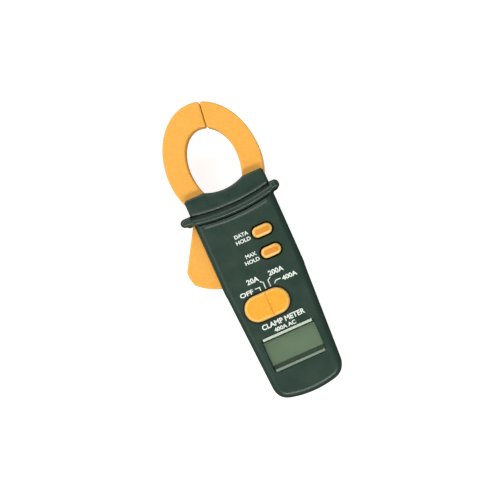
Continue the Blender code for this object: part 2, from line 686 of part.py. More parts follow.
def make_cells(sleeve, steel):
    """Two cells side by side, the left one with its cap towards the jaws, and their contacts."""
    for name, x, way, plate_y in (("left", -CELL_X, 1, CELL_LINK_Y), ("right", CELL_X, -1, CELL_END_Y)):
        flat_y = plate_y - way * (GAP + CELL_CAP + CELL_LENGTH)
        top = CELL_LENGTH + CELL_CAP
        profile = [(CELL_RADIUS, 0.0), (CELL_RADIUS, CELL_LENGTH), (1.9, CELL_LENGTH), (1.9, top)]
        finish(lying(f"cell_{name}", x, CELL_Z, [(r, flat_y + way * y) for r, y in profile]), sleeve)
        steps, turns, wire_radius, reach = 10, 3, 0.3, 1.5
        coil = []
        for k in range(steps * turns + 1):
            angle = math.tau * k / steps
            radius = 2.2 + 0.4 * k / steps
            y = flat_y - way * (GAP + wire_radius + reach * k / (steps * turns))
            coil.append((x + radius * math.cos(angle), y, CELL_Z + radius * math.sin(angle)))
        finish(wire(f"cell_spring_{name}", coil, wire_radius), steel)
    thick = 0.4
    link = prism("cell_link_plate", rectangle((-10.4, CELL_LINK_Y), (10.4, CELL_LINK_Y + thick)), 4.0, 12.6)
    finish(link, steel)
    for name, x in (("left", -CELL_X), ("right", CELL_X)):
        outline = rectangle((x - 4.6, CELL_END_Y - thick), (x + 4.6, CELL_END_Y))
        finish(prism(f"cell_end_plate_{name}", outline, 4.0, 12.6), steel)


# ---------------------------------------------------------------- assembly


def build():
    for leftover in list(bpy.data.objects):
        bpy.data.objects.remove(leftover)
    green = material("case_green", (0.035, 0.062, 0.05), 0.45)
    orange = material("signal_orange", (0.93, 0.42, 0.06), 0.5)
    control = material("control_orange", (0.93, 0.38, 0.04), 0.45)
    clear = material("clear_window", (0.55, 0.62, 0.55), 0.1)
    glass = material("display_glass", (0.16, 0.23, 0.15), 0.3)
    black = material("black_plastic", (0.03, 0.03, 0.03), 0.5)
    rubber = material("strip_rubber", (0.2, 0.08, 0.08), 0.7)
    board_green = material("board_green", (0.02, 0.16, 0.07), 0.4)
    steel = material("steel", (0.6, 0.6, 0.6), 0.3, 1.0)
    iron = material("core_iron", (0.35, 0.35, 0.36), 0.45, 1.0)
    brass = material("brass", (0.75, 0.55, 0.25), 0.3, 1.0)
    copper = material("copper_wire", (0.72, 0.3, 0.15), 0.35, 1.0)
    sleeve = material("cell_sleeve", (0.25, 0.26, 0.28), 0.4)

    make_front_case(green)
    make_rear_case(green)
    make_battery_cover(green)
    make_case_screws(steel)
    make_fixed_jaw(orange, iron)
    make_jaw_lever(orange, iron, brass)
    make_pivot(steel)
    make_coil(black, copper)
    make_buttons(control, black, steel)
    make_range_switch(control, black, brass)
    make_board(board_green, black, steel)
    make_display(clear, glass, black, rubber)
    make_cells(sleeve, steel)


build()
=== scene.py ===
"""The looks of the pocket clamp meter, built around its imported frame.

The meter lies on its back: +Z is the way the display faces and +Y runs towards the jaws.
Lengths are millimetres, read from the frame where it has them, and meshes are written in metres.
"""

import json
import math

import bmesh
import bpy
from mathutils import Matrix, Vector

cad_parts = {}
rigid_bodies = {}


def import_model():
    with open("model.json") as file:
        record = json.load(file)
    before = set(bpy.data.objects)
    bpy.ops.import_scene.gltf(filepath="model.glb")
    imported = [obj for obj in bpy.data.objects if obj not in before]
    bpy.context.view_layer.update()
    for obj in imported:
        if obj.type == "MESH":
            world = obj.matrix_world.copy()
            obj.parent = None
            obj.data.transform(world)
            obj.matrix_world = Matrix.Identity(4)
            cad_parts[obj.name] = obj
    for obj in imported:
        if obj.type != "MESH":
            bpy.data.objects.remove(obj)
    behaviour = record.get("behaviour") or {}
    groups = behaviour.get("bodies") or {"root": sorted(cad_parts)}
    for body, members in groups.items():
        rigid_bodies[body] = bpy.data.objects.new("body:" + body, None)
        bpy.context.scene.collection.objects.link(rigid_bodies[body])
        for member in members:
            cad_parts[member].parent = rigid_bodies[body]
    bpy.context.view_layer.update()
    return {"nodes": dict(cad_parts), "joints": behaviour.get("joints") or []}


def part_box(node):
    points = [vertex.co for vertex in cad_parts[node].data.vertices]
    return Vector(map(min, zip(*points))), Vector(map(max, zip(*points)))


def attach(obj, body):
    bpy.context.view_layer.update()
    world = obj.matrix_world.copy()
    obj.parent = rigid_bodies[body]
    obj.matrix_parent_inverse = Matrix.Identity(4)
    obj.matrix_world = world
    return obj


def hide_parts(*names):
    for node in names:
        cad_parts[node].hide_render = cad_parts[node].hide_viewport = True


for leftover in list(bpy.data.objects):
    bpy.data.objects.remove(leftover)

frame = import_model()

MM = 0.001
NODES = frame["nodes"]
JOINTS = {joint["name"]: joint for joint in frame["joints"]}


def node_box(name):
    """A node's lowest and highest corners, in millimetres."""
    low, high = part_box(name)
    return low / MM, high / MM


# ---------------------------------------------------------------- sizes from the frame

CASE_LOW, CASE_HIGH = node_box("front_case")
BACK_LOW, BACK_HIGH = node_box("rear_case")
KNOB_LOW, KNOB_HIGH = node_box("range_knob")
WINDOW_LOW, WINDOW_HIGH = node_box("lcd_window")
FIXED_HIGH = node_box("fixed_jaw_front_shell")[1]
LEVER_HIGH = node_box("moving_jaw_front_shell")[1]
REAR_FIXED_LOW = node_box("fixed_jaw_rear_shell")[0]
COVER_HIGH = node_box("battery_cover")[1]

PARTING_Z = (CASE_LOW.z + BACK_HIGH.z) / 2
FACE_Z = WINDOW_HIGH.z + 0.2
BACK_Z = BACK_LOW.z
FOOT_Y = CASE_LOW.y
NECK_TOP_Y = CASE_HIGH.y
JAW_FACE_Z = FIXED_HIGH.z
JAW_BACK_Z = REAR_FIXED_LOW.z
JAW_HALF_WIDTH = FIXED_HIGH.x
CORE_BACK_Z, CORE_FACE_Z = (corner.z for corner in node_box("fixed_jaw_core"))
PIVOT = tuple(value / MM for value in JOINTS["jaw_hinge"]["pos_m"][:2])
KNOB_TRAVEL = JOINTS["range_slide"]["range_m"][1] / MM
KNOB_CENTRE = ((KNOB_LOW.x + KNOB_HIGH.x) / 2, (KNOB_LOW.y + KNOB_HIGH.y) / 2)

# ---------------------------------------------------------------- sizes of the shapes themselves

SEAM = 0.05  # half of the fine gap between two mouldings
CASE_HALF_WIDTH = 20.4
BODY_TOP_Y = 21.0  # where the body ends under the collar
WALL = 2.0
BACK_WALL = 2.6
FOOT_HALF_WIDTH = 17.7
TAPER_START_Y = -13.0
FOOT_CORNER_Y = -65.8
FOOT_SAG = 1.4
FOOT_ARC_HALF_WIDTH = 11.5
BOW = 2.2  # how far the collar's ridges dip at the middle
GUARD_LOW_Y, GUARD_HIGH_Y = 19.8, 23.3
EAR_Y = 22.8
EAR_RADIUS = 2.05
NECK_ROOT_Y = 21.8
NECK_HOLLOW_HALF_WIDTH = 10.1
NECK_HOLLOW_SAG = 2.3
NECK_HOLLOW_RADIUS = (NECK_HOLLOW_HALF_WIDTH**2 + NECK_HOLLOW_SAG**2) / (2 * NECK_HOLLOW_SAG)
NECK_CORNER_RADIUS = 1.4
JAW_CENTRE_Y = 43.6
JAW_TOP_REACH = LEVER_HIGH.y - JAW_CENTRE_Y
JAW_ROOT_REACH = 28.3
WINDOW_CENTRE_Y = 44.1
WINDOW_HALF_WIDTH = 12.2
WINDOW_TOP_REACH = 18.0
WINDOW_ROOT_REACH = 19.5
SPLIT_AIM_Y = 31.2
SPLIT_LEAN = math.radians(7.6)
SPLIT_GAP = 0.12
JAW_TIP_EASE = 1.4
CORE_INSET = 1.8
CLEAR = 0.3


# ---------------------------------------------------------------- outlines


def arc(centre, radii, start, end, steps):
    """Points of an ellipse's arc, with its angles in degrees from +X and both ends included."""
    turns = [math.radians(start + (end - start) * k / steps) for k in range(steps + 1)]
    return [(centre[0] + radii[0] * math.cos(t), centre[1] + radii[1] * math.sin(t)) for t in turns]


def bezier(first, pull, last, steps):
    """Points of a quadratic curve from first to last, without first."""
    points = []
    for k in range(1, steps + 1):
        t = k / steps
        weights = ((1 - t) ** 2, 2 * t * (1 - t), t * t)
        points.append(tuple(sum(w * p[a] for w, p in zip(weights, (first, pull, last))) for a in (0, 1)))
    return points


def rectangle(low, high):
    """A rectangle between two opposite corners."""
    return [low, (high[0], low[1]), high, (low[0], high[1])]


def stadium(centre, width, height, steps=14):
    """A lozenge with half-round ends."""
    r = height / 2
    reach = width / 2 - r
    right = arc((centre[0] + reach, centre[1]), (r, r), -90, 90, steps)
    left = arc((centre[0] - reach, centre[1]), (r, r), 90, 270, steps)
    return right + left


def rounded_rectangle(centre, width, height, radius, steps=6):
    points = []
    for quarter, (sx, sy) in enumerate(((1, 1), (-1, 1), (-1, -1), (1, -1))):
        corner = (centre[0] + sx * (width / 2 - radius), centre[1] + sy * (height / 2 - radius))
        points += arc(corner, (radius, radius), 90 * quarter, 90 * quarter + 90, steps)
    return points


def mirrored(points):
    return [(-x, y) for x, y in reversed(points)]


def both_sides(right):
    """A right half outline from the centre line round to the centre line, closed with its mirror image."""
    return right + [(-x, y) for x, y in reversed(right) if x > 1e-9]


def body_outline(inset, top_y):
    """The case below the collar: straight sides that taper to a gently bowed foot."""
    side = CASE_HALF_WIDTH - inset
    foot = FOOT_HALF_WIDTH - inset
    low = FOOT_Y + inset
    corner_low = (FOOT_ARC_HALF_WIDTH, low + FOOT_SAG)
    bow = [(x, low + FOOT_SAG * (x / FOOT_ARC_HALF_WIDTH) ** 2) for x in (0.0, 2.0, 4.0, 6.0, 8.0, 10.0)]
    rise = 2 * FOOT_SAG / FOOT_ARC_HALF_WIDTH * (foot - FOOT_ARC_HALF_WIDTH)
    corner = bezier(corner_low, (foot - 0.4, low + FOOT_SAG + rise), (foot, FOOT_CORNER_Y), 14)
    shoulder = [(foot + (side - foot) * 0.88, TAPER_START_Y - 6.0)]
    shoulder += [(side, TAPER_START_Y + rise) for rise in (-3.0, 0.0, 3.0, 6.0)]
    return both_sides(bow + [corner_low] + corner + shoulder + [(side, top_y), (0.0, top_y)])


def bow_at(x):
    """How far the collar's lines dip at x, from none at the case's sides."""
    return BOW * (1 - (x / CASE_HALF_WIDTH) ** 2)


def bowed(y, half_width, steps=14):
    """A bowed line across the right half, from the side to the middle."""
    xs = [half_width * (1 - k / steps) for k in range(steps + 1)]
    return [(x, y - bow_at(x)) for x in xs]


def guard_outline(left_tip, right_tip):
    """The finger guard: a bowed band whose ends flow into a rounded ear on each side."""
    root = CASE_HALF_WIDTH - 0.4

    def end(tip):
        """One end of the band as if it were the right one, between its lower and its upper line."""
        bottom, top, reach = EAR_Y - EAR_RADIUS, EAR_Y + EAR_RADIUS, tip - EAR_RADIUS
        below = bezier(lower[-1], (root + 0.9, bottom), (reach - 0.3, bottom), 5)
        return below + arc((reach, EAR_Y), (EAR_RADIUS, EAR_RADIUS), -90, 90, 16) + [(root + 0.2, top)]

    lower = bowed(GUARD_LOW_Y, root)[::-1]
    upper = bowed(GUARD_HIGH_Y, root)
    return lower + end(right_tip) + upper + mirrored(lower[1:] + end(-left_tip) + upper[:-1])


def neck_arc(drop, reach, steps):
    """The hollow in the neck's top edge, from left to right, lowered by drop."""
    centre_y = NECK_TOP_Y - NECK_HOLLOW_SAG + NECK_HOLLOW_RADIUS
    xs = [-reach + 2 * reach * k / steps for k in range(steps + 1)]
    return [(x, centre_y - math.sqrt((NECK_HOLLOW_RADIUS + drop) ** 2 - x * x)) for x in xs]


def jaw_edge(side, window, inset, end_y, steps, gap):
    """One edge of a jaw, from the split down to end_y, as if the jaw were on the right."""
    centre_y = WINDOW_CENTRE_Y if window else JAW_CENTRE_Y
    width = WINDOW_HALF_WIDTH + inset if window else JAW_HALF_WIDTH - inset
    top = WINDOW_TOP_REACH + inset if window else JAW_TOP_REACH - inset
    root = WINDOW_ROOT_REACH + inset if window else JAW_ROOT_REACH - inset
    y = centre_y + top
    for _ in range(30):
        x = side * (y - SPLIT_AIM_Y) * math.tan(SPLIT_LEAN) + gap
        y = centre_y + top * math.sqrt(1 - (x / width) ** 2)
    start = math.degrees(math.atan2((y - centre_y) / top, x / width))
    end = math.degrees(math.asin((end_y - centre_y) / root))
    upper = arc((0, centre_y), (width, top), start, 0, steps)
    lower = arc((0, centre_y), (width, root), 0, end, steps // 2 + 2)
    return upper + lower[1:]


def eased_corner(before, corner, after, radius, steps=6):
    """A corner replaced by a curve that starts and ends radius away from it."""
    towards = [Vector(p) - Vector(corner) for p in (before, after)]
    ends = [Vector(corner) + way.normalized() * radius for way in towards]
    return [tuple(ends[0])] + bezier(tuple(ends[0]), corner, tuple(ends[1]), steps)


def ring_edge(side, end_y, radius):
    """The jaw's outer edge, its eased tip and its window edge, in that order, from end_y to end_y."""
    outer = jaw_edge(side, False, 0.0, end_y[0], 56, SPLIT_GAP)
    inner = jaw_edge(side, True, 0.0, end_y[1], 44, SPLIT_GAP)
    far_outer = next(p for p in outer if math.dist(p, outer[0]) > radius)
    far_inner = next(p for p in inner if math.dist(p, inner[0]) > radius)
    kept_outer = [p for p in outer if math.dist(p, outer[0]) > radius]
    kept_inner = [p for p in inner if math.dist(p, inner[0]) > radius]
    outer_corner = eased_corner(far_outer, outer[0], inner[0], radius)
    inner_corner = eased_corner(outer[0], inner[0], far_inner, radius)
    return kept_outer[::-1] + outer_corner + inner_corner + kept_inner


def core_outline(side, squared, past):
    """The channel for a core: the core's outline with clearance, run past its end faces."""
    inset = CORE_INSET - CLEAR
    low, high = 17.2 - CLEAR, 23.8 + CLEAR
    outer = jaw_edge(side, False, inset, 27.0, 30, 0.0)
    inner = jaw_edge(side, True, inset, 30.0 if squared else high + 0.2, 24, 0.0)
    outer[0] = (outer[0][0] - past, outer[0][1])
    inner[0] = (inner[0][0] - past, inner[0][1])
    bottom = [(15.8 + CLEAR, 19.5), (13.6 + CLEAR, low), (-past, low), (-past, high)]
    corner = [(11.3 - CLEAR, high)] if squared else []
    outline = outer + bottom + corner + inner[::-1]
    return outline if side == 1 else mirrored(outline)


# ---------------------------------------------------------------- solids


def to_object(name, work):
    """An object from a finished bmesh, its faces turned outwards."""
    mesh = bpy.data.meshes.new(name)
    bmesh.ops.recalc_face_normals(work, faces=work.faces)
    work.to_mesh(mesh)
    work.free()
    made = bpy.data.objects.new(name, mesh)
    bpy.context.scene.collection.objects.link(made)
    return made


def prism(name, outline, low, high, round_low=0.0, round_high=0.0, steps=5):
    """An outline pushed from z = low to z = high, with its lower and upper rims rounded."""
    work = bmesh.new()
    base = work.faces.new([work.verts.new((x * MM, y * MM, low * MM)) for x, y in outline])
    lifted = bmesh.ops.extrude_face_region(work, geom=[base])["geom"]
    top = [v for v in lifted if isinstance(v, bmesh.types.BMVert)]
    bmesh.ops.translate(work, verts=top, vec=(0, 0, (high - low) * MM))
    for level, radius in ((low, round_low), (high, round_high)):
        if radius:
            rim = [e for e in work.edges if all(abs(v.co.z - level * MM) < 1e-6 for v in e.verts)]
            bmesh.ops.bevel(work, geom=rim, offset=radius * MM, segments=steps, profile=0.5, affect="EDGES")
    return to_object(name, work)


def loft(name, rings, closed_ends=True):
    """A solid through rings of equally many (x, y, z) points."""
    work = bmesh.new()
    made = [[work.verts.new((x * MM, y * MM, z * MM)) for x, y, z in ring] for ring in rings]
    for ring, following in zip(made, made[1:]):
        for k in range(len(ring)):
            after = (k + 1) % len(ring)
            work.faces.new((ring[k], ring[after], following[after], following[k]))
    if closed_ends:
        work.faces.new(made[0])
        work.faces.new(made[-1])
    bmesh.ops.triangulate(work, faces=[face for face in work.faces if len(face.verts) == 4])
    return to_object(name, work)


def turned(name, centre, profile, steps=40):
    """A solid of revolution about Z through (radius, z) points."""
    rings = [[(x, y, z) for x, y in arc(centre, (r, r), 0, 360, steps)[:-1]] for r, z in profile]
    return loft(name, rings)


def combine(target, tool, operation):
    """Apply a boolean to the target and use up the tool."""
    modifier = target.modifiers.new(operation.lower(), "BOOLEAN")
    modifier.operation = operation
    modifier.object = tool
    evaluated = target.evaluated_get(bpy.context.evaluated_depsgraph_get())
    mesh = bpy.data.meshes.new_from_object(evaluated)
    target.modifiers.clear()
    target.data = mesh
    bpy.data.objects.remove(tool)


def join(target, *tools):
    for tool in tools:
        combine(target, tool, "UNION")


def cut(target, *tools):
    for tool in tools:
        combine(target, tool, "DIFFERENCE")


def dress(made, look, body, slot, *nodes, edge=0.0, sharp=32):
    """Shade a piece, round its remaining sharp edges, tie it to its body and hide the CAD nodes it stands
    for. The slot is not used.
    """
    made.data.materials.clear()
    made.data.materials.append(look)
    if edge:
        bevel = made.modifiers.new("edge", "BEVEL")
        bevel.width = edge * MM
        bevel.segments = 2
        bevel.limit_method = "ANGLE"
        bevel.angle_limit = math.radians(40)
        bevel.harden_normals = False
    made.data.shade_smooth()
    made.data.set_sharp_from_angle(angle=math.radians(sharp))
    weighted = made.modifiers.new("weighted", "WEIGHTED_NORMAL")
    weighted.keep_sharp = not edge
    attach(made, body)
    if nodes:
        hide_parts(*nodes)
    return made


# ---------------------------------------------------------------- materials


class Look:
    """A Principled material with the few node chains that the pieces share."""

    def __init__(self, name, colour, roughness, metallic=0.0, **sockets):
        self.made = bpy.data.materials.new(name)
        self.made.use_nodes = True
        self.tree = self.made.node_tree
        self.shader = self.tree.nodes["Principled BSDF"]
        self.shader.inputs["Base Color"].default_value = (*colour, 1.0)
        self.shader.inputs["Roughness"].default_value = roughness
        self.shader.inputs["Metallic"].default_value = metallic
        for socket, value in sockets.items():
            self.shader.inputs[socket.replace("_", " ")].default_value = value
        self.colour = colour
        self.coords = self.tree.nodes.new("ShaderNodeTexCoord")
        self.height = None

    def place(self, stretch):
        """The object's own coordinates, stretched."""
        mapping = self.tree.nodes.new("ShaderNodeMapping")
        mapping.inputs["Scale"].default_value = stretch
        self.tree.links.new(self.coords.outputs["Object"], mapping.inputs["Vector"])
        return mapping.outputs["Vector"]

    def noise(self, scale, detail=3.0, stretch=(1, 1, 1)):
        """Noise with scale features to a metre."""
        made = self.tree.nodes.new("ShaderNodeTexNoise")
        made.inputs["Scale"].default_value = scale
        made.inputs["Detail"].default_value = detail
        self.tree.links.new(self.place(stretch), made.inputs["Vector"])
        return made.outputs["Fac"]

    def layers(self, pitch, axis):
        """Bands pitch millimetres apart along an axis."""
        made = self.tree.nodes.new("ShaderNodeTexWave")
        made.bands_direction = axis
        made.inputs["Scale"].default_value = math.tau / (pitch * MM * 20)
        made.inputs["Distortion"].default_value = 0.3
        self.tree.links.new(self.place((1, 1, 1)), made.inputs["Vector"])
        return made.outputs["Fac"]

    def ramp(self, fac, low, high, first, last):
        """fac from low to high turned into a run from first to last."""
        made = self.tree.nodes.new("ShaderNodeMapRange")
        made.inputs["From Min"].default_value = low
        made.inputs["From Max"].default_value = high
        made.inputs["To Min"].default_value = first
        made.inputs["To Max"].default_value = last
        self.tree.links.new(fac, made.inputs["Value"])
        return made.outputs["Result"]

    def tint(self, fac, low, high, other):
        """Turn the base colour towards other where fac runs from low to high."""
        mix = self.tree.nodes.new("ShaderNodeMix")
        mix.data_type = "RGBA"
        socket = self.shader.inputs["Base Color"]
        if socket.is_linked:
            self.tree.links.new(socket.links[0].from_socket, mix.inputs["A"])
        else:
            mix.inputs["A"].default_value = (*self.colour, 1.0)
        mix.inputs["B"].default_value = (*other, 1.0)
        self.tree.links.new(self.ramp(fac, low, high, 0.0, 1.0), mix.inputs["Factor"])
        self.tree.links.new(mix.outputs["Result"], socket)

    def gloss(self, fac, low, high, first, last):
        """Roughness that runs from first to last where fac runs from low to high."""
        self.tree.links.new(self.ramp(fac, low, high, first, last), self.shader.inputs["Roughness"])

    def bump(self, fac, depth, strength=1.0):
        """Relief of depth millimetres."""
        made = self.tree.nodes.new("ShaderNodeBump")
        made.inputs["Strength"].default_value = strength
        made.inputs["Distance"].default_value = depth * MM
        self.tree.links.new(fac, made.inputs["Height"])
        if self.height:
            self.tree.links.new(self.height, made.inputs["Normal"])
        self.height = made.outputs["Normal"]
        self.tree.links.new(self.height, self.shader.inputs["Normal"])


def scaled(colour, factor):
    """A colour made lighter or darker."""
    return tuple(channel * factor for channel in colour)


def moulded(name, colour, roughness, grain=0.02, drift=1.12, specular=0.5):
    """Satin moulded plastic: a fine sparked texture, faint flow marks and uneven handling gloss."""
    look = Look(name, colour, roughness, Specular_IOR_Level=specular)
    look.tint(look.noise(70, 4), 0.35, 0.75, scaled(colour, drift))
    look.tint(look.noise(1100, 2), 0.42, 0.95, scaled(colour, 0.86))
    look.gloss(look.noise(140, 5), 0.3, 0.7, roughness - 0.06, roughness + 0.08)
    look.bump(look.noise(4200, 2), grain, 0.5)
    look.bump(look.noise(900, 3), grain * 1.5, 0.25)
    return look.made


def metal(name, colour, roughness, stretch=(1, 1, 1), scale=1800):
    """Bright metal with fine drawn marks and slightly dull patches."""
    look = Look(name, colour, roughness, 1.0)
    look.tint(look.noise(300, 4), 0.4, 0.8, scaled(colour, 0.7))
    look.gloss(look.noise(scale, 3, stretch), 0.3, 0.7, roughness - 0.08, roughness + 0.12)
    look.bump(look.noise(scale, 3, stretch), 0.006, 0.6)
    return look.made


def banded(name, colour, roughness, pitch, axis, metallic, darker):
    """Stacked sheets or laid wire: bands along an axis with dark lines between them."""
    look = Look(name, colour, roughness, metallic)
    bands = look.layers(pitch, axis)
    look.tint(bands, 0.75, 1.0, scaled(colour, darker))
    look.tint(look.noise(500, 4), 0.45, 0.8, scaled(colour, 0.8))
    look.bump(bands, 0.05, 0.7)
    return look.made


def printed_ink():
    """Screen-printed white ink, a little thin in places."""
    colour = (0.62, 0.66, 0.60)
    look = Look("printed_ink", colour, 0.55)
    look.tint(look.noise(2600, 3), 0.5, 0.8, scaled(colour, 0.6))
    look.bump(look.noise(5000, 2), 0.01, 0.4)
    return look.made


def display_look(name, colour):
    """The idle display: a reflector with a fine tooth and a faint unevenness behind glass."""
    look = Look(name, colour, 0.3)
    look.tint(look.noise(45, 2), 0.3, 0.8, scaled(colour, 1.2))
    look.tint(look.noise(3500, 1), 0.55, 0.75, scaled(colour, 0.88))
    look.bump(look.noise(6000, 2), 0.004, 0.5)
    return look.made


def lens_look():
    """The clear window, with faint handling marks in its gloss."""
    look = Look("clear_window", (0.10, 0.13, 0.10), 0.08, Alpha=0.12, IOR=1.49)
    look.gloss(look.noise(400, 5), 0.35, 0.75, 0.05, 0.16)
    look.made.surface_render_method = "BLENDED"
    return look.made


def edge_highlight_look(name, colour):
    """A painted highlight for the window's chamfered edges: a pale colour standing in for the light they
    catch.
    """
    look = Look(name, colour, 0.5)
    look.tint(look.noise(1200, 3), 0.4, 0.8, scaled(colour, 0.75))
    look.bump(look.noise(3000, 2), 0.02, 0.6)
    return look.made


def board_look():
    """Green laminate, with tracks just showing under its varnish."""
    colour = (0.02, 0.13, 0.06)
    look = Look("board_laminate", colour, 0.35)
    look.tint(look.noise(700, 0, (1, 0.2, 1)), 0.52, 0.54, scaled(colour, 1.6))
    look.bump(look.noise(700, 0, (1, 0.2, 1)), 0.03, 0.5)
    return look.made


CASE_GREEN = moulded("case_green", (0.0158, 0.0342, 0.0240), 0.33, specular=0.4)
JAW_ORANGE = moulded("jaw_orange", (0.680, 0.316, 0.038), 0.46, drift=1.03)
CONTROL_ORANGE = moulded("control_orange", (0.665, 0.295, 0.016), 0.40, 0.01, 1.04)
# A paler copy of the control orange for sloped faces: a painted highlight.
CONTROL_RIM_HIGHLIGHT = moulded("control_rim_highlight", (0.630, 0.370, 0.075), 0.34, 0.01, 1.04)
KEY_ORANGE = moulded("key_orange", (0.560, 0.205, 0.013), 0.42, 0.01, 1.04)
BLACK = moulded("black_plastic", (0.008, 0.008, 0.008), 0.5, specular=0.3)
SLEEVE = moulded("cell_sleeve", (0.14, 0.15, 0.17), 0.3, 0.005)
STEEL = metal("plated_steel", (0.60, 0.60, 0.59), 0.3)
BRASS = metal("brass", (0.72, 0.52, 0.24), 0.28)
IRON = banded("core_iron", (0.36, 0.36, 0.37), 0.38, 0.5, "Z", 1.0, 0.35)
COPPER = banded("copper_wire", (0.70, 0.30, 0.14), 0.35, 0.4, "X", 1.0, 0.4)
RUBBER = banded("strip_rubber", (0.10, 0.05, 0.05), 0.7, 0.5, "X", 0.0, 0.3)
BOARD = board_look()
INK = printed_ink()
DISPLAY = display_look("display_reflector", (0.112, 0.172, 0.096))
# A darker copy of the display's colour for the panel: painted shade where the window's frame shades the
# display.
DISPLAY_PAINTED_SHADE = display_look("display_glass", (0.070, 0.130, 0.068))
LENS = lens_look()
# Painted highlights for the window's edges: a bright one for the upper edge and a dim one for the lower.
PAINTED_EDGE_HIGHLIGHT = edge_highlight_look("window_edge_highlight", (0.40, 0.47, 0.37))
PAINTED_EDGE_HIGHLIGHT_DIM = edge_highlight_look("window_edge_highlight_dim", (0.152, 0.208, 0.158))

CARRIED_NODES = (
    (STEEL, "case_screw_upper case_screw_left case_screw_right board_screw_left board_screw_right"),
    (STEEL, "jaw_pivot_pin jaw_return_spring quartz_crystal data_hold_switch max_hold_switch"),
    (STEEL, "cell_spring_left cell_spring_right cell_link_plate cell_end_plate_left cell_end_plate_right"),
    (BLACK, "coil_bobbin main_chip filter_capacitor lcd_frame"),
    (BLACK, "data_hold_plunger max_hold_plunger wiper_carrier"),
    (BRASS, "pivot_bush range_contacts wiper_contact"),
    (IRON, "fixed_jaw_core moving_jaw_core"),
    (COPPER, "coil_winding coil_lead_left coil_lead_right"),
    (RUBBER, "display_strip_upper display_strip_lower"),
    (BOARD, "circuit_board"),
    (SLEEVE, "cell_left cell_right"),
    # The panel takes the darker display colour, painted shade.
    (DISPLAY_PAINTED_SHADE, "lcd_panel"),
)
for look, names in CARRIED_NODES:
    for name in names.split():
        NODES[name].data.materials.clear()
        NODES[name].data.materials.append(look)


def second_look(made, look, chosen):
    """Give the faces whose normal and centre pass the test another material."""
    made.data.materials.append(look)
    for face in made.data.polygons:
        if chosen(face.normal, face.center / MM):
            face.material_index = len(made.data.materials) - 1


# ---------------------------------------------------------------- case

POSTS = {"upper": None, "left": None, "right": None}
for place in POSTS:
    low, high = node_box(f"case_screw_{place}")
    POSTS[place] = ((low.x + high.x) / 2, (low.y + high.y) / 2)


# Profiles across the collar: y on the centre line, and the height over the case's face.
BEAD = [(14.2, -0.6), (14.2, -0.03), (14.6, 0.02), (15.0, 0.09), (15.4, 0.21), (15.8, 0.35), (16.2, 0.45),
        (16.5, 0.46), (16.75, 0.36), (17.0, 0.1), (17.1, -0.6)]
GROOVE = [(16.82, -1.1), (16.82, 2.0), (19.5, 2.0), (19.5, -1.1)]


def across(half_width, steps):
    """Places across the case, closer together towards its sides."""
    return [half_width * math.sin(math.pi * (k / steps - 0.5)) for k in range(steps + 1)]


def sunk(x, half_width, crown):
    """How far a surface with rounded ends has sunk at x."""
    over = max(0.0, abs(x) - (half_width - crown))
    return crown - math.sqrt(max(crown**2 - over**2, 0.0))


def ridge(name, profile, face, outward, half_width, crown):
    """A bar across the case that follows the collar's bow and sinks at its ends by its crown."""
    base = min(height for _, height in profile)
    rings = []
    for x in across(half_width, 36):
        keep = 1.0 - sunk(x, half_width, crown) / max(crown, 1.0)
        heights = [base + (height - base) * max(keep, 0.1) for _, height in profile]
        rings.append([(x, y + BOW - bow_at(x), face + outward * h) for (y, _), h in zip(profile, heights)])
    return loft(name, rings)


def neck_top(x):
    """Where the neck's top edge is at x: hollowed in the middle and rounded at its corners."""
    if abs(x) < NECK_HOLLOW_HALF_WIDTH:
        return NECK_TOP_Y - NECK_HOLLOW_SAG + NECK_HOLLOW_RADIUS - math.sqrt(NECK_HOLLOW_RADIUS**2 - x**2)
    return NECK_TOP_Y - sunk(x, CASE_HALF_WIDTH, NECK_CORNER_RADIUS)


def neck(outer_z, meet, outward, lip):
    """The neck: a lip along its top edge, and a lower edge that rolls down towards the guard."""
    rings = []
    for x in across(CASE_HALF_WIDTH, 64):
        low, top = NECK_ROOT_Y + BOW - bow_at(x), neck_top(x)
        roll = arc((low + 4.0, -lip - 1.5), (4.0, 1.5), 180, 90, 12)
        rim = arc((top - 0.8, -0.8), (0.8, 0.8), 90, 0, 5)
        outside = roll + [(top - 1.7, -lip), (top - 1.1, 0.0)] + rim
        sink = sunk(x, CASE_HALF_WIDTH, 0.9)
        ring = [(x, y, outer_z + outward * (height - sink)) for y, height in outside]
        seam = ((top, 0.12), (top - 0.12, 0.0), (low + 0.12, 0.0), (low, 0.12))
        rings.append(ring + [(x, y, meet + outward * height) for y, height in seam])
    return loft("neck", rings)


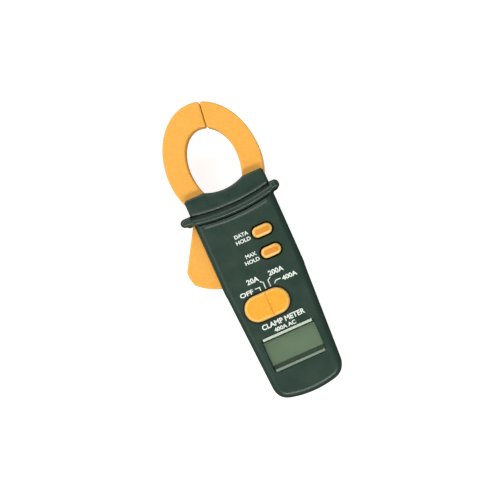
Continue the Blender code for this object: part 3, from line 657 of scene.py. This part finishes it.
def case_shell(name, front):
    """One half of the case: body, collar ridges, finger guard and neck, hollow inside."""
    meet = PARTING_Z + (SEAM if front else -SEAM)
    outward = 1 if front else -1
    face = FACE_Z if front else BACK_Z

    def layer(outline, drop, rounding, steps=5):
        """A storey of the case whose outer face lies drop below the case's own."""
        outer_z = face - outward * drop
        low, high = (meet, outer_z) if front else (outer_z, meet)
        edges = (0.12, rounding) if front else (rounding, 0.12)
        return prism("layer", outline, low, high, *edges, steps)

    def hollow(outline, outer_z):
        past = meet - outward
        return prism("hollow", outline, min(past, outer_z), max(past, outer_z))

    half = layer(body_outline(0.0, BODY_TOP_Y), 0.0, 3.0, 8)
    half.name = name
    neck_drop = 0.8 if front else 2.8
    join(half, layer(rectangle((-19.6, 12.0), (19.6, 27.0)), 2.0, 0.3, 2))
    join(half, neck(face - outward * neck_drop, meet, outward, 0.22 if front else 0.0))
    if front:
        join(half, ridge("bead", BEAD, face, outward, 17.3, 1.2))
    cut(half, ridge("groove", GROOVE, face, outward, 18.4, 0.0))
    box_low, box_high = (CASE_LOW, CASE_HIGH) if front else (BACK_LOW, BACK_HIGH)
    join(half, layer(guard_outline(box_low.x, box_high.x), -1.25 if front else 0.0, 1.4, 6))

    inner_z = face - outward * (WALL if front else BACK_WALL)
    slot_z = JAW_FACE_Z + CLEAR if front else JAW_BACK_Z - CLEAR
    cut(half, hollow(body_outline(WALL, 18.0), inner_z))
    cut(half, hollow(rectangle((-18.6, 16.0), (18.6, 36.0)), slot_z))
    cut(half, hollow(rectangle((-30.0, -14.0), (-10.0, 36.5)), slot_z))
    cut(half, hollow(rectangle((10.0, 25.4), (30.0, 37.0)), slot_z))
    saddle = neck_arc(1.6, 7.2, 12) + neck_arc(0.0, 7.2, 12)[::-1]
    low, high = sorted((meet, slot_z + outward * 0.6))
    join(half, prism("saddle", saddle, low, high))
    for centre in POSTS.values():
        join(half, turned("post", centre, [(3.2, meet), (3.2, inner_z + outward * 0.5)]))
    join(half, turned("boss", PIVOT, [(3.4, slot_z + outward * 0.1), (3.4, inner_z + outward * 0.5)]))
    cut(half, turned("seat", PIVOT, [(2.3, slot_z - outward), (2.3, slot_z + outward * 1.7)]))
    return half


def flared_cut(case, outline_at, flare, depth):
    """A hole through the front with a chamfered mouth. outline_at gives its outline grown by an amount."""
    cut(case, prism("hole", outline_at(0.0), FACE_Z - 4.0, FACE_Z + 1.0))
    levels = ((0.0, FACE_Z - depth), (flare, FACE_Z), (flare + 0.2, FACE_Z + 0.2))
    cut(case, loft("flare", [[(x, y, z) for x, y in outline_at(grow)] for grow, z in levels]))


def button_size(name):
    """A button's centre, its width and height without the skirt under the case, and its top."""
    low, high = node_box(name)
    centre = ((low.x + high.x) / 2, (low.y + high.y) / 2)
    return centre, high.x - low.x - 2.0, high.y - low.y - 2.0, high.z


def window_size():
    """The window's centre, and its size without the lip that holds it from behind."""
    centre = ((WINDOW_LOW.x + WINDOW_HIGH.x) / 2, (WINDOW_LOW.y + WINDOW_HIGH.y) / 2)
    return centre, WINDOW_HIGH.x - WINDOW_LOW.x - 2.6, WINDOW_HIGH.y - WINDOW_LOW.y - 2.6


def make_front_case():
    """The front half, with the window's hole, the keys' holes and the knob's slot."""
    case = case_shell("front_case_skin", True)
    for centre in POSTS.values():
        cut(case, turned("bore", centre, [(1.4, PARTING_Z - 1), (1.4, 20.4)], 20))
    centre, width, height = window_size()

    def window_hole(grow):
        return rounded_rectangle(centre, width + 0.4 + 2 * grow, height + 0.4 + 2 * grow, 1.2 + grow)

    flared_cut(case, window_hole, 0.5, 0.5)
    for name in ("data_hold_button", "max_hold_button"):
        middle, wide, tall, _ = button_size(name)
        flared_cut(case, lambda g: stadium(middle, wide + 1.6 + 2 * g, tall + 1.6 + 2 * g), 0.25, 0.3)
    middle = (KNOB_CENTRE[0] + KNOB_TRAVEL / 2, KNOB_CENTRE[1])
    slot = rounded_rectangle(middle, KNOB_TRAVEL + 4.6, 4.6, 0.8)
    cut(case, prism("slot", slot, FACE_Z - 4.0, FACE_Z + 1.0))
    dress(case, CASE_GREEN, "meter_body", "case_plastic", "front_case", edge=0.1)


def dovetail(name, half_width, top, low, high):
    """A plate open at the foot and wider at its inner face, as its channel holds it."""
    outline = [(-half_width, FOOT_Y - 2), (half_width, FOOT_Y - 2), (half_width, top), (-half_width, top)]
    plate = prism(name, outline, low, high)
    for vertex in plate.data.vertices:
        if vertex.co.z > (low + high) / 2 * MM:
            vertex.co.x += math.copysign(0.8 * MM, vertex.co.x)
    return plate


def make_rear_case():
    """The rear half, with its screw holes, the cover's channel and a recess for a label."""
    case = case_shell("rear_case_skin", False)
    for centre in POSTS.values():
        cut(case, turned("bore", centre, [(1.5, BACK_Z - 1), (1.5, PARTING_Z + 1)], 20))
        cut(case, turned("counterbore", centre, [(3.2, BACK_Z - 0.5), (2.7, BACK_Z), (2.7, BACK_Z + 3.4)]))
    cut(case, dovetail("channel", 14.4, COVER_HIGH.y + CLEAR, BACK_Z - 0.5, COVER_HIGH.z + CLEAR))
    cut(case, prism("door", rectangle((-11.4, -71.2), (11.4, COVER_HIGH.y - 0.9)), 1.0, 3.6))
    label = rounded_rectangle((-2.2, -3.4), 24.0, 17.0, 1.4)
    cut(case, prism("label_recess", label, BACK_Z - 1, BACK_Z + 0.3))
    dress(case, CASE_GREEN, "meter_body", "case_plastic", "rear_case", edge=0.1)


def make_battery_cover():
    """The sliding cover, with a ridged thumb rest and an arrow towards the foot."""
    cover = dovetail("battery_cover_skin", COVER_HIGH.x - 0.8, COVER_HIGH.y, BACK_Z, COVER_HIGH.z)
    shell = prism("shell", body_outline(0.0, BODY_TOP_Y), BACK_Z, 12.0, 3.0, 0.0, 8)
    combine(cover, shell, "INTERSECT")
    thumb_y = COVER_HIGH.y - 7.0
    cut(cover, prism("thumb_rest", stadium((0.0, thumb_y), 15.0, 8.4), BACK_Z - 1, BACK_Z + 0.7))
    for step in (-2, -1, 0, 1, 2):
        y = thumb_y + 1.45 * step
        half_length = 5.6 - 0.5 * abs(step)
        ridge = rectangle((-half_length, y - 0.35), (half_length, y + 0.35))
        join(cover, prism("ridge", ridge, BACK_Z + 0.15, BACK_Z + 1.0, 0.2, 0.0, 3))
    arrow = [(-3.0, thumb_y - 6.4), (3.0, thumb_y - 6.4), (0.0, thumb_y - 10.4)]
    cut(cover, prism("arrow", arrow, BACK_Z - 1, BACK_Z + 0.35))
    dress(cover, CASE_GREEN, "battery_door", "case_plastic", "battery_cover", edge=0.1)


# ---------------------------------------------------------------- jaws


def jaw_half(name, outline, front, channel):
    """Half of a jaw's moulding, hollow up to the parting plane."""
    low, high = (PARTING_Z + SEAM, JAW_FACE_Z) if front else (JAW_BACK_Z, PARTING_Z - SEAM)
    half = prism(name, outline, low, high, *((0.12, 0.8) if front else (0.8, 0.12)), 4)
    inner = CORE_FACE_Z + CLEAR if front else CORE_BACK_Z - CLEAR
    past = low - 1 if front else high + 1
    cut(half, prism("hollow", channel, min(inner, past), max(inner, past)))
    return half


def bearing(point):
    """The direction of a point from the pivot, in degrees."""
    return math.degrees(math.atan2(point[1] - PIVOT[1], point[0] - PIVOT[0]))


def lever_outline():
    """The moving jaw and its trigger in one outline, from the trigger's side of the yoke."""
    ring = mirrored(ring_edge(-1, (25.6, 25.4), JAW_TIP_EASE))
    tip_high, tip_low, reach = (-32.6, 1.6), (-31.2, -5.4), 26.4
    sole = arc(PIVOT, (reach, reach), bearing(tip_low), bearing((-18.0, -13.4)), 16)
    trigger = [(-17.6, 21.4), (-21.2, 20.2), tip_high]
    trigger += bezier(tip_high, (-33.6, -0.6), sole[0], 10) + sole[1:]
    arm = [(-15.8, -11.0), (-14.6, 3.0)]
    boss = arc(PIVOT, (5.2, 5.2), -70, 20, 10)
    yoke = [(-7.4, 15.7), (-CLEAR, 15.7), (-CLEAR, 24.5), (-0.9, 25.1)]
    return ring, trigger + arm + boss + yoke


def make_jaws():
    """Both jaws' front and rear mouldings, the moving one with its trigger."""
    outline = ring_edge(1, (27.2, 27.2), JAW_TIP_EASE)
    for side in ("front", "rear"):
        node = f"fixed_jaw_{side}_shell"
        half = jaw_half(f"fixed_jaw_{side}_skin", outline, side == "front", core_outline(1, True, 1.2))
        dress(half, JAW_ORANGE, "meter_body", "jaw_plastic", node, edge=0.08)
    ring, trigger = lever_outline()
    hollow = [(-21.0, 17.4), (-31.0, 0.8), (-30.6, -3.0), (-29.2, -5.2), (-24.0, -9.4), (-18.4, -11.6),
              (-17.6, -9.4), (-18.6, 8.0)]
    for side, front in (("front", True), ("rear", False)):
        node = f"moving_jaw_{side}_shell"
        half = jaw_half(f"moving_jaw_{side}_skin", ring + trigger, front, core_outline(-1, False, 1.2))
        low, high = (PARTING_Z - 1, JAW_FACE_Z - 1.6) if front else (JAW_BACK_Z + 1.6, PARTING_Z + 1)
        cut(half, prism("hollow", hollow, low, high))
        cut(half, turned("bore", PIVOT, [(3.3, 5.0), (3.3, 21.0)]))
        if not front:
            join(half, turned("peg", (-17.0, 4.0), [(0.7, 3.4), (0.7, 7.4)], 16))
        dress(half, JAW_ORANGE, "jaw_lever", "jaw_plastic", node, edge=0.08)


# ---------------------------------------------------------------- controls


def make_knob():
    """The slide knob: a low lozenge with a chamfered rim and one fine index line."""
    width, height = KNOB_HIGH.x - KNOB_LOW.x, KNOB_HIGH.y - KNOB_LOW.y
    lozenge = stadium(KNOB_CENTRE, width, height, 20)
    knob = prism("range_knob_skin", lozenge, FACE_Z + CLEAR, KNOB_HIGH.z, 0.0, 1.25, 3)
    line_x = KNOB_CENTRE[0] + 1.3
    line = rectangle((line_x - 0.23, KNOB_LOW.y - 1), (line_x + 0.23, KNOB_HIGH.y + 1))
    cut(knob, prism("index_line", line, KNOB_HIGH.z - 0.35, KNOB_HIGH.z + 1))
    stem = rounded_rectangle(KNOB_CENTRE, 4.0, 4.0, 0.8)
    join(knob, prism("stem", stem, KNOB_LOW.z, FACE_Z + 1))
    dress(knob, CONTROL_ORANGE, "range_slider", "control_plastic", "range_knob", edge=0.07)
    rim_low = FACE_Z + CLEAR + 0.3
    # The knob's sloped rim faces get the paler orange, a painted highlight.
    second_look(knob, CONTROL_RIM_HIGHLIGHT, lambda normal, centre: 0.1 < normal.z < 0.98 and centre.z > rim_low)
    # A black plate a little wider than the knob, under it: painted shadow round the knob's foot.
    shadow_outline = stadium(KNOB_CENTRE, width + 1.8, height + 1.8, 20)
    plate = prism("range_knob_shadow_plate", shadow_outline, FACE_Z + 0.05, FACE_Z + CLEAR - 0.04, 0.0, 0.08, 2)
    dress(plate, BLACK, "range_slider", "control_plastic")


def make_buttons():
    """Push buttons with a wide slope, painted paler as a highlight, around a flat top, over the skirt that
    holds them in.
    """
    slope = ((0.0, 2.2), (0.0, 0.8), (0.12, 0.55), (0.5, 0.32), (1.2, 0.09), (1.65, 0.0))
    for key in ("data_hold", "max_hold"):
        centre, width, height, top = button_size(f"{key}_button")
        low = node_box(f"{key}_button")[0].z
        sizes = [(width - 2 * inset, height - 2 * inset, top - drop) for inset, drop in slope]
        rings = [[(x, y, z) for x, y in stadium(centre, wide, tall)] for wide, tall, z in sizes]
        button = loft(f"{key}_button_skin", rings)
        join(button, prism("skirt", stadium(centre, width + 2.0, height + 2.0), low, FACE_Z - 2.3))
        join(button, prism("stem", stadium(centre, width - 0.4, height - 0.4), low + 0.2, top - 1.5))
        dress(button, CONTROL_RIM_HIGHLIGHT, f"{key}_key", "control_plastic", f"{key}_button", edge=0.05)
        second_look(button, KEY_ORANGE, lambda normal, middle: normal.z > 0.96 and middle.z > top - 0.2)
        # Faces below the case's face are black: painted shade in the gap round each button.
        second_look(button, BLACK, lambda normal, middle: middle.z < FACE_Z - 1.0)


# ---------------------------------------------------------------- display


def make_display():
    """The window, with pale strips of painted highlight on its upper and lower edges, over the reflector of
    the idle display, which leaves the darker panel showing as painted shade above and below it.
    """
    centre, width, height = window_size()
    top = WINDOW_HIGH.z
    window = prism("lcd_window_skin", rounded_rectangle(centre, width, height, 1.0), 22.4, top, 0.0, 0.15, 2)
    lip = rounded_rectangle(centre, width + 2.6, height + 2.6, 1.6)
    join(window, prism("lip", lip, WINDOW_LOW.z, FACE_Z - 2.3))
    dress(window, LENS, "meter_body", "window_clear", "lcd_window")
    # Painted highlight: the upper strip is brighter and the lower one dimmer, as the light falls on the two
    # edges.
    highlight_strips = (
        ("upper", centre[1] + height / 2, -1.25, PAINTED_EDGE_HIGHLIGHT),
        ("lower", centre[1] - height / 2, 1.2, PAINTED_EDGE_HIGHLIGHT_DIM),
    )
    for name, edge_y, deep, look in highlight_strips:
        low_y, high_y = sorted((edge_y, edge_y + deep))
        bevel = rectangle((centre[0] - width / 2 + 0.3, low_y), (centre[0] + width / 2 - 0.3, high_y))
        made = prism(f"window_highlight_strip_{name}", bevel, top + 0.01, top + 0.16, 0.0, 0.13, 3)
        dress(made, look, "meter_body", "window_clear")
    panel_low, panel_high = node_box("lcd_panel")
    # The reflector stops short of the window's upper and lower edges, so the darker panel shows there as
    # painted shade.
    seen = rectangle((panel_low.x + 0.4, centre[1] - 5.0), (panel_high.x - 0.4, centre[1] + 6.5))
    sheet = prism("display_reflector", seen, panel_high.z + 0.02, 22.3, 0.0, 0.1, 2)
    dress(sheet, DISPLAY, "meter_body", "display_glass")


# ---------------------------------------------------------------- print

INK_LOW_Z = FACE_Z - 0.02
INK_HIGH_Z = FACE_Z + 0.03
STROKE_SWELL = 0.03  # what the letters' strokes gain, in the curve's own units
LEADER_WIDTH = 0.42


def legend(name, words, low, high):
    """Words that fill the rectangle from low to high on the case's face."""
    curve = bpy.data.curves.new(name, "FONT")
    curve.body = words
    curve.resolution_u = 4
    curve.offset = STROKE_SWELL
    curve.extrude = 0.1
    holder = bpy.data.objects.new(name, curve)
    bpy.context.scene.collection.objects.link(holder)
    shape = holder.evaluated_get(bpy.context.evaluated_depsgraph_get())
    mesh = bpy.data.meshes.new_from_object(shape)
    bpy.data.objects.remove(holder)
    points = [vertex.co.copy() for vertex in mesh.vertices]
    ends = [(min(p[a] for p in points), max(p[a] for p in points)) for a in range(3)]
    goal = [(low[0], high[0]), (low[1], high[1]), (INK_LOW_Z, INK_HIGH_Z)]
    for vertex in mesh.vertices:
        for a in range(3):
            share = (vertex.co[a] - ends[a][0]) / (ends[a][1] - ends[a][0])
            vertex.co[a] = (goal[a][0] + share * (goal[a][1] - goal[a][0])) * MM
    made = bpy.data.objects.new(name, mesh)
    bpy.context.scene.collection.objects.link(made)
    made.data.materials.append(INK)
    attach(made, "meter_body")


def leader(name, points):
    """A printed line along points, mitred at its bends."""
    places = [Vector(p) for p in points]
    left, right = [], []
    for k, place in enumerate(places):
        ways = [(b - a).normalized() for a, b in zip(places, places[1:])][max(k - 1, 0) : k + 1]
        way = sum(ways, Vector((0, 0))).normalized()
        reach = LEADER_WIDTH / 2 / max(way.dot(ways[0]), 0.5)
        side = Vector((-way.y, way.x)) * reach
        left.append(tuple(place + side))
        right.append(tuple(place - side))
    made = prism(name, left + right[::-1], INK_LOW_Z, INK_HIGH_Z)
    dress(made, INK, "meter_body", "case_plastic")


def make_print():
    """Key names, range marks with their leaders to the knob's stops, and what the tool is."""
    for key, words, shrink in (("data_hold", "DATA", 0.0), ("max_hold", "MAX", 1.2)):
        centre, width, _, _ = button_size(f"{key}_button")
        right = centre[0] - width / 2 - 1.6
        y = centre[1] + 0.6
        legend(f"print_{key}_upper", words, (right - 7.0 + shrink, y + 0.4), (right - shrink / 3, y + 2.3))
        legend(f"print_{key}_lower", "HOLD", (right - 7.3, y - 2.5), (right + 0.1, y - 0.6))
    x, y = KNOB_CENTRE
    step = KNOB_TRAVEL / 3
    stops = [x + step * k for k in range(4)]
    knob_top = KNOB_HIGH.y
    legend("print_off", "OFF", (x - 10.3, knob_top + 1.1), (x - 3.5, knob_top + 3.4))
    legend("print_20", "20A", (x - 4.8, knob_top + 5.7), (x + 1.3, knob_top + 8.2))
    legend("print_200", "200A", (x + 6.5, knob_top + 5.7), (x + 14.1, knob_top + 8.2))
    legend("print_400", "400A", (x + 11.6, knob_top + 1.1), (x + 19.1, knob_top + 3.4))
    low, bend, high = knob_top + 0.9, knob_top + 2.7, knob_top + 5.2
    leader("mark_off", [(stops[0], low), (stops[0], bend), (x - 2.3, bend)])
    leader("mark_20", [(stops[1], low), (stops[1], high - 1.0), (x + 1.2, high)])
    leader("mark_200", [(stops[2], low), (stops[2], high - 1.0), (x + 6.6, high)])
    slanted = [(stops[3], low + 0.6), (stops[3], bend - 0.9), (stops[3] + 0.9, bend), (x + 11.0, bend)]
    leader("mark_400", slanted)
    legend("print_kind", "CLAMP METER", (-10.6, KNOB_LOW.y - 4.3), (11.4, KNOB_LOW.y - 1.7))
    legend("print_range", "400A AC", (-5.6, KNOB_LOW.y - 7.2), (5.4, KNOB_LOW.y - 5.2))


make_front_case()
make_rear_case()
make_battery_cover()
make_jaws()
make_knob()
make_buttons()
make_display()
make_print()


# ---------------------------------------------------------------- camera, light, floor


CAMERA_TURN = math.radians(24.0)  # how far the jaws lean left in the picture
CAMERA_ACROSS = math.radians(1.8)
CAMERA_DOWN = math.radians(1.8)
CAMERA_DISTANCE = 1.1  # in metres, as is VIEW_WIDTH, what the picture spans at that distance
VIEW_WIDTH = 0.2404
SENSOR_WIDTH = 36.0
VIEW_CENTRE = (-1.05, -1.0)  # the point of the meter, in millimetres, that the camera looks at
SHEET_FLAT = 2.4  # radius in metres at which the floor starts to curve up
SHEET_CURVE = 0.6
SHEET_TOP = 2.6
SHEET_SIDES = 60


def make_camera():
    """Almost straight above, a little towards the display's right and foot, turned so the jaws lean left."""
    target = Vector((*VIEW_CENTRE, PARTING_Z)) * MM
    away = Vector((math.tan(CAMERA_ACROSS), -math.tan(CAMERA_DOWN), 1.0)).normalized()
    up = Vector((math.sin(CAMERA_TURN), math.cos(CAMERA_TURN), 0.0))
    right = up.cross(away).normalized()
    up = away.cross(right)
    camera = bpy.data.objects.new("camera", bpy.data.cameras.new("camera"))
    camera.data.sensor_width = SENSOR_WIDTH
    camera.data.lens = SENSOR_WIDTH * CAMERA_DISTANCE / VIEW_WIDTH
    turn = Matrix((right, up, away)).transposed().to_4x4()
    camera.matrix_world = Matrix.Translation(target + away * CAMERA_DISTANCE) @ turn
    bpy.context.scene.collection.objects.link(camera)
    bpy.context.scene.camera = camera


def softbox(name, place, size, watts, target=(0.0, 0.0, 0.012)):
    """A rectangular light in metres that looks at the target."""
    lamp = bpy.data.lights.new(name, "AREA")
    lamp.shape = "RECTANGLE"
    lamp.size, lamp.size_y = size
    lamp.energy = watts
    made = bpy.data.objects.new(name, lamp)
    made.location = place
    made.rotation_euler = (Vector(target) - Vector(place)).to_track_quat("-Z", "Y").to_euler()
    bpy.context.scene.collection.objects.link(made)


def make_floor():
    """A white sheet that curves up into a wall all round."""
    curve = arc((SHEET_FLAT, SHEET_CURVE), (SHEET_CURVE, SHEET_CURVE), -80, 0, 8)
    profile = [(0.001, 0.0), (SHEET_FLAT, 0.0)] + curve + [(SHEET_FLAT + SHEET_CURVE, SHEET_TOP)]
    turns = [math.tau * k / SHEET_SIDES for k in range(SHEET_SIDES)]
    work = bmesh.new()
    rings = []
    for radius, height in profile:
        rings.append([work.verts.new((radius * math.cos(a), radius * math.sin(a), height)) for a in turns])
    for ring, following in zip(rings, rings[1:]):
        for k in range(SHEET_SIDES):
            before = k - 1
            work.faces.new((ring[before], ring[k], following[k], following[before]))
    floor = to_object("floor", work)
    floor.data.shade_smooth()
    floor.location.z = -0.0002
    floor.visible_glossy = False
    floor.visible_shadow = False
    look = Look("floor_paper", (0.3, 0.3, 0.3), 0.8)
    look.tint(look.noise(300, 3), 0.4, 0.8, (0.29, 0.29, 0.29))
    look.shader.inputs["Emission Color"].default_value = (1.0, 1.0, 1.0, 1.0)
    look.shader.inputs["Emission Strength"].default_value = 0.85
    floor.data.materials.append(look.made)


def make_studio():
    """A broad key light, a strip at the foot that lights the ridges, and dim walls that fade with height."""
    softbox("key", (-0.50, 0.65, 0.85), (1.3, 1.3), 14.8)
    softbox("foot", (-0.05, -0.66, 0.80), (0.9, 0.22), 8.0)
    world = bpy.data.worlds.new("studio")
    world.use_nodes = True
    tree = world.node_tree
    direction = tree.nodes.new("ShaderNodeTexCoord")
    split = tree.nodes.new("ShaderNodeSeparateXYZ")
    tree.links.new(direction.outputs["Generated"], split.inputs["Vector"])

    def step(axis, *limits):
        """How bright the studio's walls are along an axis."""
        made = tree.nodes.new("ShaderNodeMapRange")
        tree.links.new(split.outputs[axis], made.inputs["Value"])
        for socket, value in zip(("From Min", "From Max", "To Min", "To Max"), limits):
            made.inputs[socket].default_value = value
        return made.outputs["Result"]

    fades = (
        step("Z", 0.45, 0.95, 1.0, 0.45),
        step("Z", -0.1, 0.15, 0.2, 1.0),
        step("X", -0.1, 0.5, 1.0, 0.45),
    )
    strength = None
    for fade in fades:
        if strength:
            product = tree.nodes.new("ShaderNodeMath")
            product.operation = "MULTIPLY"
            tree.links.new(strength, product.inputs[0])
            tree.links.new(fade, product.inputs[1])
            fade = product.outputs["Value"]
        strength = fade
    tree.links.new(strength, tree.nodes["Background"].inputs["Strength"])
    bpy.context.scene.world = world
    bpy.context.scene.view_settings.view_transform = "Standard"


make_camera()
make_floor()
make_studio()
